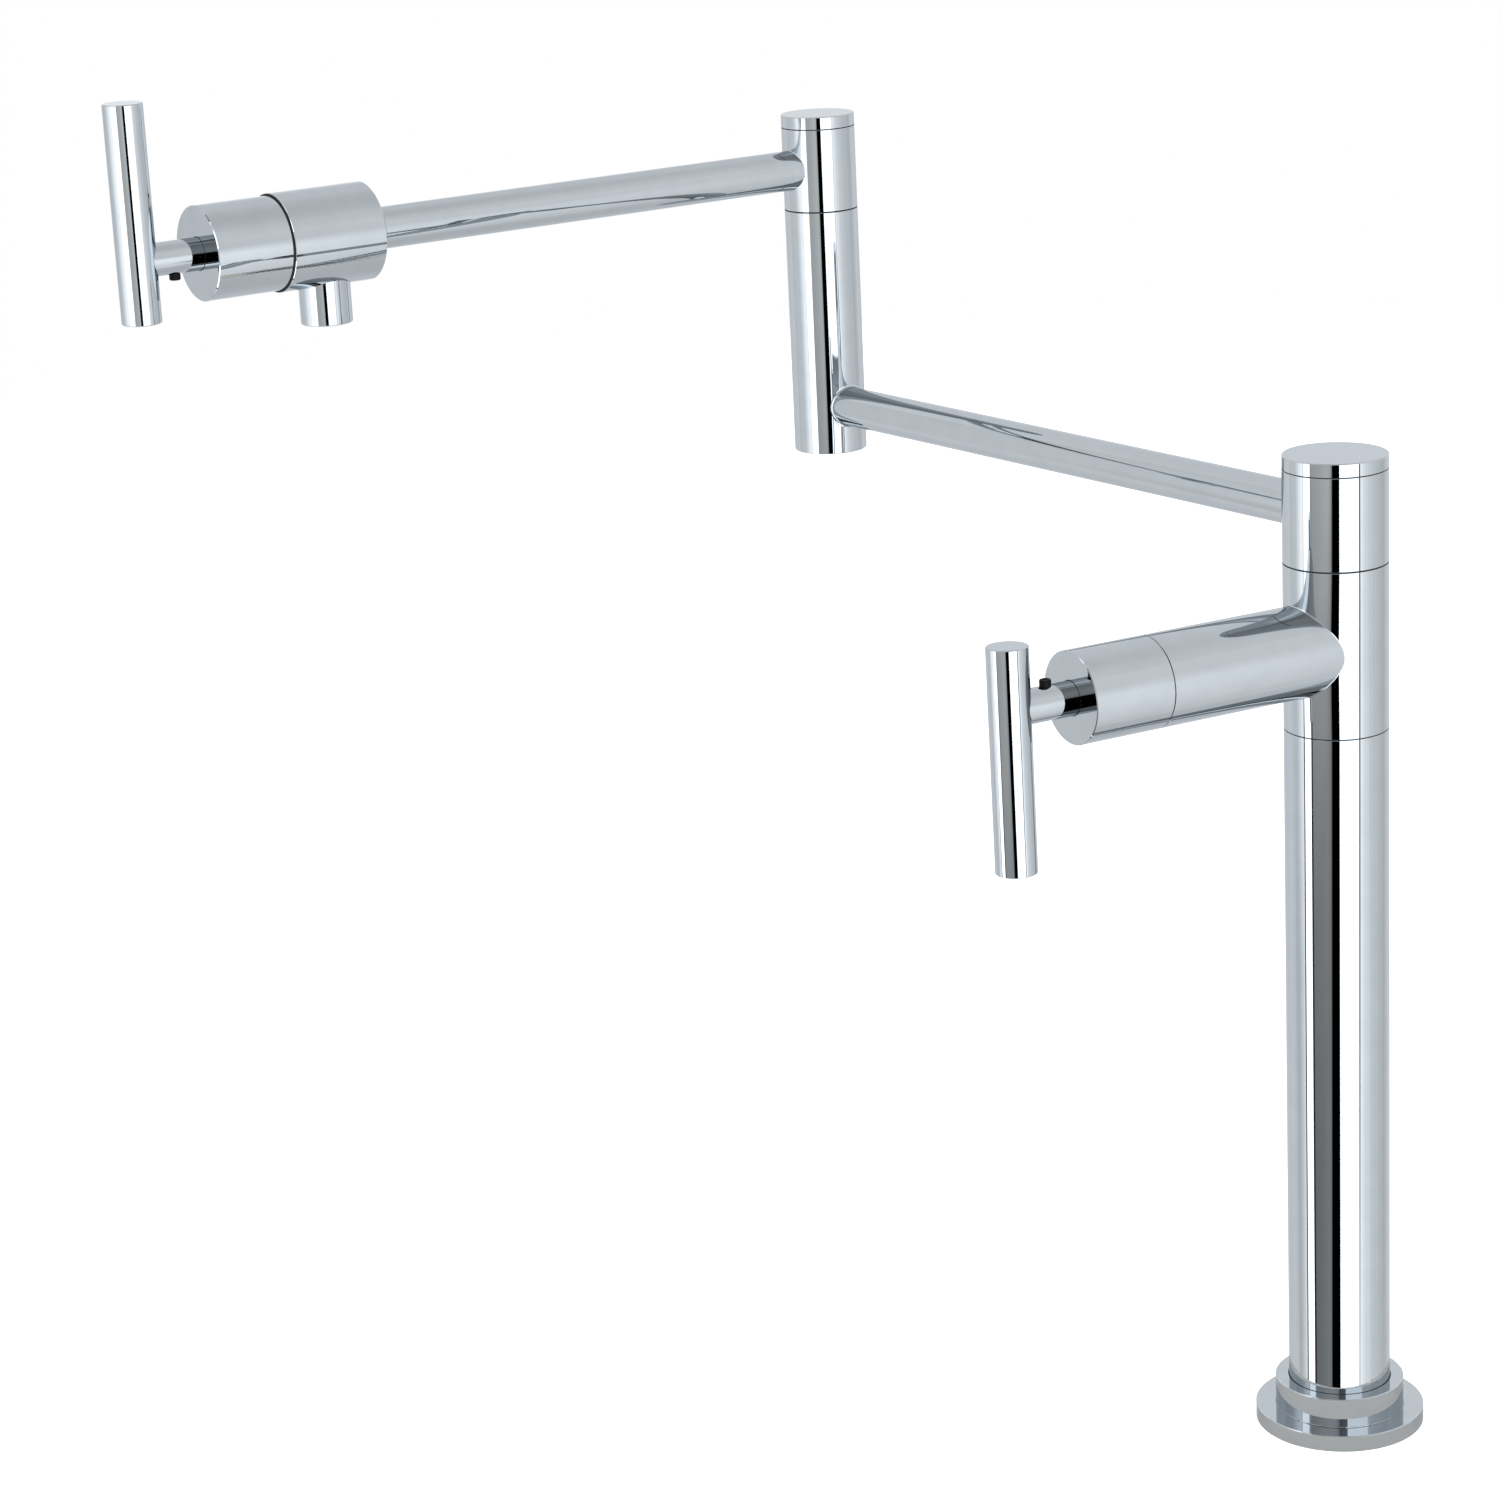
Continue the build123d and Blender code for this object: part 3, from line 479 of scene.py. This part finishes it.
def studio():
    """The panels round the front, left to right: wall, bright strip, grey card, dark gap, window, wall."""
    left_seam = upright([(0.46, 60), (0.5, 90), (0.53, 215), (0.6, 235)])
    strip = upright([(0.76, 305), (0.8, 190)])
    strip_seam = upright([(0.5, 35), (0.54, 80), (0.57, 140), (0.64, 190)])
    gap = upright([(0.72, 0), (0.78, 165)])
    window = upright([(0.76, 280), (0.8, 190)])
    window_seam = upright(
        [(0.3, 190), (0.36, 120), (0.42, 65), (0.53, 65), (0.57, 200), (0.62, 235), (0.72, 232), (0.78, 188)]
    )
    panel("left_wall", LEFT_WALL_EDGE, STRIP_LEFT_EDGE, left_wall)
    panel("left_seam", STRIP_LEFT_EDGE, STRIP_START, left_seam)
    panel("strip", STRIP_START, STRIP_END, strip)
    panel("strip_seam", STRIP_END, GREY_START, strip_seam)
    panel("grey_card", GREY_START, GAP_LEFT_EDGE, grey_card)
    panel("gap", GAP_LEFT_EDGE, GAP_RIGHT_EDGE, gap)
    panel("window", GAP_RIGHT_EDGE, WINDOW_END, window)
    panel("window_seam", WINDOW_END, RIGHT_WALL_START, window_seam)
    panel("right_wall", RIGHT_WALL_START, RIGHT_WALL_EDGE, right_wall)


def backdrop():
    """Plain white all round, behind the tent that only the camera looks through."""
    world = bpy.data.worlds.new("backdrop")
    bpy.context.scene.world = world
    world.use_nodes = True
    nodes = Nodes(world.node_tree)
    white = nodes.add("ShaderNodeBackground", Color=WHITE, Strength=1.0)
    output = nodes.add("ShaderNodeOutputWorld")
    nodes.put(output.inputs["Surface"], white.outputs[0])


def disc(name, radius, material):
    """A flat disc at the deck's level."""
    points = [(*on_circle(radius, step, DISC_SIDES), 0) for step in range(DISC_SIDES)]
    return stage_object(name, points, [tuple(range(DISC_SIDES))], material)


def floor_paper(nodes):
    """White where the background is seen, with the tap's soft shadow kept."""
    paper = nodes.add("ShaderNodeBsdfDiffuse", Color=PAPER_WHITE)
    path = nodes.add("ShaderNodeLightPath")
    seen = nodes.math("MAXIMUM", path.outputs["Is Camera Ray"], path.outputs["Is Glossy Ray"])
    seen = nodes.math("MAXIMUM", seen, path.outputs["Is Transmission Ray"])
    bright = nodes.add("ShaderNodeEmission", Color=WHITE)
    nodes.put(bright.inputs["Strength"], nodes.math("MULTIPLY", seen, PAPER_GLOW))
    both = nodes.add("ShaderNodeAddShader")
    nodes.put(both.inputs[0], paper.outputs[0])
    nodes.put(both.inputs[1], bright.outputs[0])
    return both.outputs[0]


def plinth_top(nodes):
    """The small matt stand that the photographed flange shows round its foot."""
    return nodes.add("ShaderNodeBsdfDiffuse", Color=PLINTH_WHITE).outputs[0]


def floor():
    """A plain pale floor. In the photograph the chrome mirrors only a small stand, and so it does here."""
    wide = disc("floor", FLOOR_RADIUS, shaded("floor_paper", floor_paper))
    wide.visible_glossy = False
    stand = disc("plinth", PLINTH_RADIUS, shaded("plinth_top", plinth_top))
    stand.visible_camera = False
    stand.visible_diffuse = False
    stand.visible_shadow = False


def camera():
    """The photograph's camera, as an azimuth, distance and height from the column and three turns."""
    data = bpy.data.cameras.new("camera")
    data.lens = FOCAL_LENGTH
    data.sensor_width = SENSOR_WIDTH
    data.clip_start = NEAREST_SEEN
    data.clip_end = FARTHEST_SEEN
    eye = bpy.data.objects.new("camera", data)
    bpy.context.scene.collection.objects.link(eye)
    heading = math.radians(CAMERA_AZIMUTH + 180 - CAMERA_YAW - 90)
    turned = Matrix.Rotation(heading, 4, "Z")
    turned @= Matrix.Rotation(math.radians(90 + CAMERA_PITCH), 4, "X")
    turned @= Matrix.Rotation(math.radians(CAMERA_ROLL), 4, "Z")
    place = Matrix.Translation(camera_point(CAMERA_DISTANCE, 0, CAMERA_HEIGHT))
    eye.matrix_world = place @ turned
    bpy.context.scene.camera = eye


finishes = {
    "chrome": surface(
        "chrome_plate",
        colours=[(0.4, 0.435, 0.46), (0.42, 0.455, 0.48)],
        roughness=(0.02, 0.04),
        metallic=1.0,
        grain=900,
        relief=1e-7,
        Specular_Tint=(0.7, 0.72, 0.74, 1),
    ),
    "brass": surface(
        "turned_brass",
        colours=[(0.74, 0.53, 0.24), (0.82, 0.62, 0.33)],
        roughness=(0.18, 0.32),
        metallic=1.0,
        grain=2500,
        relief=4e-6,
        stretch=(0.1, 0.1, 6),
    ),
    "steel": surface(
        "satin_steel",
        colours=[(0.50, 0.50, 0.50), (0.62, 0.62, 0.61)],
        roughness=(0.22, 0.40),
        metallic=1.0,
        grain=3000,
        relief=3e-6,
        stretch=(1, 8, 1),
    ),
    "black_steel": surface(
        "black_oxide",
        colours=[(0.006, 0.006, 0.007), (0.014, 0.014, 0.016)],
        roughness=(0.4, 0.55),
        metallic=0.0,
        grain=4000,
        relief=3e-6,
        Specular_IOR_Level=0.06,
    ),
    # The black rubber also colours the black rings of painted shade in the seams, round the hubs and at the
    # column's foot.
    "rubber": surface(
        "black_rubber_and_seam_shade",
        colours=[(0.008, 0.008, 0.008), (0.018, 0.018, 0.018)],
        roughness=(0.55, 0.8),
        metallic=0.0,
        grain=3500,
        relief=1.5e-5,
        Specular_IOR_Level=0.2,
    ),
    "ceramic": surface(
        "lapped_ceramic",
        colours=[(0.84, 0.84, 0.80), (0.90, 0.90, 0.87)],
        roughness=(0.08, 0.16),
        metallic=0.0,
        grain=5000,
        relief=1e-6,
    ),
    "plastic": surface(
        "white_acetal",
        colours=[(0.80, 0.80, 0.77), (0.86, 0.86, 0.84)],
        roughness=(0.35, 0.5),
        metallic=0.0,
        grain=3000,
        relief=4e-6,
    ),
}


def dress_nodes():
    """Every CAD node gets the finish of its slot."""
    for node, piece in frame["nodes"].items():
        piece.data.materials.clear()
        piece.data.materials.append(finishes[node_slot[node]])


def turned_piece(name, body, slot, origin, axis, outline, sides):
    """A closed ring about an axis. The outline is a function of the turn that gives radii and heights."""
    tilt = axis.to_track_quat("Z", "Y")
    points, faces = [], []
    count = len(outline(0.0))
    for step in range(sides):
        turn = math.tau * step / sides
        for radius, height in outline(turn):
            spot = Vector((radius * math.cos(turn), radius * math.sin(turn), height))
            points.append(origin + tilt @ spot)
    for step in range(sides):
        here, there = step * count, (step + 1) % sides * count
        for spot in range(count):
            follow = (spot + 1) % count
            faces.append((here + spot, there + spot, there + follow, here + follow))
    mesh = bpy.data.meshes.new(name)
    mesh.from_pydata(points, [], faces)
    mesh.materials.append(finishes[slot])
    mesh.shade_smooth()
    mesh.set_sharp_from_angle(angle=math.radians(SHARP_ANGLE))
    item = bpy.data.objects.new(name, mesh)
    bpy.context.scene.collection.objects.link(item)
    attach(item, body)
    return item


def metres(outline):
    """An outline as on a drawing, in metres."""
    return [(radius / METRE, height / METRE) for radius, height in outline]


def thread_rows(low, high, radius, pitch, turn):
    """The outline of a right-hand thread at one turn, from its lower to its upper run-out."""
    count = round((high - low) / pitch * ROWS_PER_PITCH)
    rows = []
    for row in range(count + 1):
        height = low + (high - low) * row / count
        wave = abs(2 * ((height / pitch - turn / math.tau) % 1) - 1)
        fade = min(1, (height - low) / pitch, (high - height) / pitch)
        rows.append((radius - THREAD_DEPTH * wave * fade, height))
    return rows


def shank_outline(turn):
    """The whole shank at one turn: bore, bevelled end, supply thread, relief, shank thread and head."""
    rows = [(SHANK_BORE, SHANK_LOW), (SUPPLY_RADIUS - SHANK_END_BEVEL, SHANK_LOW)]
    rows += thread_rows(SUPPLY_LOW, SUPPLY_HIGH, SUPPLY_RADIUS, SUPPLY_PITCH, turn)
    rows += [(RELIEF_RADIUS, SUPPLY_HIGH), (RELIEF_RADIUS, SHANK_THREAD_LOW)]
    rows += thread_rows(SHANK_THREAD_LOW, SHANK_THREAD_HIGH, SHANK_RADIUS, SHANK_PITCH, turn)
    rows += [(SHANK_RADIUS, HEAD_LOW), (HEAD_RADIUS, HEAD_LOW)]
    rows += [(HEAD_RADIUS, HEAD_HIGH), (SHANK_BORE, HEAD_HIGH)]
    return metres(rows)


def threaded_shank():
    """The shank with its threads in place of the plain one."""
    centre, up = Vector((0, 0, 0)), Vector((0, 0, 1))
    shank = turned_piece("shank_with_threads", "base", "brass", centre, up, shank_outline, THREAD_SIDES)
    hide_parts("threaded_shank")


def joint_centre(joint):
    return Vector(frame_joints[joint]["pos_m"])


def joint_axis(joint):
    return Vector(frame_joints[joint]["axis"]).normalized()


def joint_ring(name, body, slot, joint, outline, lift=0.0):
    """A ring about a joint's axis, from an outline of radii and heights lifted over the joint's centre."""
    loop = metres([(radius, lift + height) for radius, height in outline])
    turned_piece(name, body, slot, joint_centre(joint), joint_axis(joint), lambda turn: loop, RING_SIDES)


def top_of(node, joint):
    """How far a CAD node reaches over a joint's centre, along the joint's axis and in millimetres."""
    piece, centre, axis = frame["nodes"][node], joint_centre(joint), joint_axis(joint)
    return max((piece.matrix_world @ vertex.co - centre).dot(axis) for vertex in piece.data.vertices) * METRE


def seam_shade_ring(name, body, joint, radius, lift, width):
    """A black ring of painted shade in the groove between two pieces of one radius, just under their surface."""
    inner, waist, outer = radius - SEAM_DEPTH, radius - SEAM_BEVEL, radius - SEAM_RECESS
    low, high, flare = SEAM_CLEARANCE, width - SEAM_CLEARANCE, outer - waist
    outline = [(inner, low), (waist, low), (outer, low - flare)]
    outline += [(outer, high + flare), (waist, high), (inner, high)]
    # The rubber finish only makes the ring black: the ring is painted shade in the groove.
    joint_ring(name, body, "rubber", joint, outline, lift)


def seams():
    """The painted shade in the seams between the polished pieces, as black rings. A barrel's joint has its centre
    at the barrel's seam.
    """
    for name, node, joint, radius, width in UPRIGHT_SEAMS:
        seam_shade_ring(name, body_of(node), joint, radius, top_of(node, joint), width)
    seam_shade_ring("side_bonnet_shade_ring", "base", "side_handle_turn", SIDE_BARREL_RADIUS, 0.0, SCREWED_SEAM)
    # The outlet bonnet's seam gets a black ring of painted shade too.
    joint_ring("outlet_bonnet_shade_ring", "upper_arm", "rubber", "outlet_handle_turn", OUTLET_SEAM_SHADE)


def hub_shade_rings():
    """Painted shade round the hubs, as black rings in the gaps of the bonnets' faces."""
    for valve in ("side", "outlet"):
        bonnet, joint = f"{valve}_bonnet", f"{valve}_handle_turn"
        # Each hub's black ring is painted shade in its gap.
        joint_ring(f"{valve}_hub_shade_ring", body_of(bonnet), "rubber", joint, HUB_GAP_SHADE, top_of(bonnet, joint))


def column_foot():
    """Painted shade round the foot of the column, as a black ring, and the polished bead round the foot of the
    collar.
    """
    collar_top = top_of("base_collar", "column_swivel")
    # The foot's black ring is painted shade in the corner between column and collar.
    joint_ring("column_foot_shade_ring", "base", "rubber", "column_swivel", COLUMN_FOOT_SHADE, collar_top)
    section = [on_circle(BEAD_THICKNESS / 2, step, BEAD_SIDES) for step in range(BEAD_SIDES)]
    bead = [(BEAD_RADIUS + outwards, upwards) for outwards, upwards in section]
    bead_centre = top_of("deck_flange", "column_swivel") + BEAD_LIFT
    joint_ring("collar_bead", "base", "chrome", "column_swivel", bead, bead_centre)


def islands(node):
    """The separate closed meshes of a CAD node, as lists of points."""
    mesh = frame["nodes"][node].data
    group = list(range(len(mesh.vertices)))

    def leader(spot):
        while group[spot] != spot:
            group[spot] = group[group[spot]]
            spot = group[spot]
        return spot

    same = {}
    for spot, vertex in enumerate(mesh.vertices):
        place = tuple(round(c, MICROMETRE_DIGITS) for c in vertex.co)
        group[leader(spot)] = leader(same.setdefault(place, spot))
    for edge in mesh.edges:
        first, second = edge.vertices
        group[leader(first)] = leader(second)
    found = {}
    for spot, vertex in enumerate(mesh.vertices):
        found.setdefault(leader(spot), []).append(vertex.co)
    return list(found.values())


def round_seals(node, joint):
    """Round rubber rings in the place of a CAD node's square ones."""
    axis = joint_axis(joint)
    for number, points in enumerate(islands(node), 1):
        centre = sum(points, Vector()) / len(points)
        heights = [(point - centre).dot(axis) for point in points]
        radii = [((point - centre) - (point - centre).dot(axis) * axis).length for point in points]
        centre += axis * (max(heights) + min(heights)) / 2
        middle, half = (max(radii) + min(radii)) / 2, (max(radii) - min(radii)) / 2
        section = [on_circle(half, step, SEAL_SECTION_SIDES) for step in range(SEAL_SECTION_SIDES)]
        outline = [(middle + outwards, upwards) for outwards, upwards in section]
        name = f"{node}_round_{number}"
        ring = turned_piece(name, body_of(node), "rubber", centre, axis, lambda turn: outline, SEAL_SIDES)
        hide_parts(node)


dress_nodes()
threaded_shank()
seams()
hub_shade_rings()
column_foot()
round_seals("column_o_rings", "column_swivel")
round_seals("joint_o_rings", "joint_swivel")
round_seals("side_stem_seal", "side_handle_turn")
round_seals("outlet_stem_seal", "outlet_handle_turn")

bpy.context.scene.view_settings.view_transform = "Standard"
camera()
backdrop()
tent()
studio()
floor()
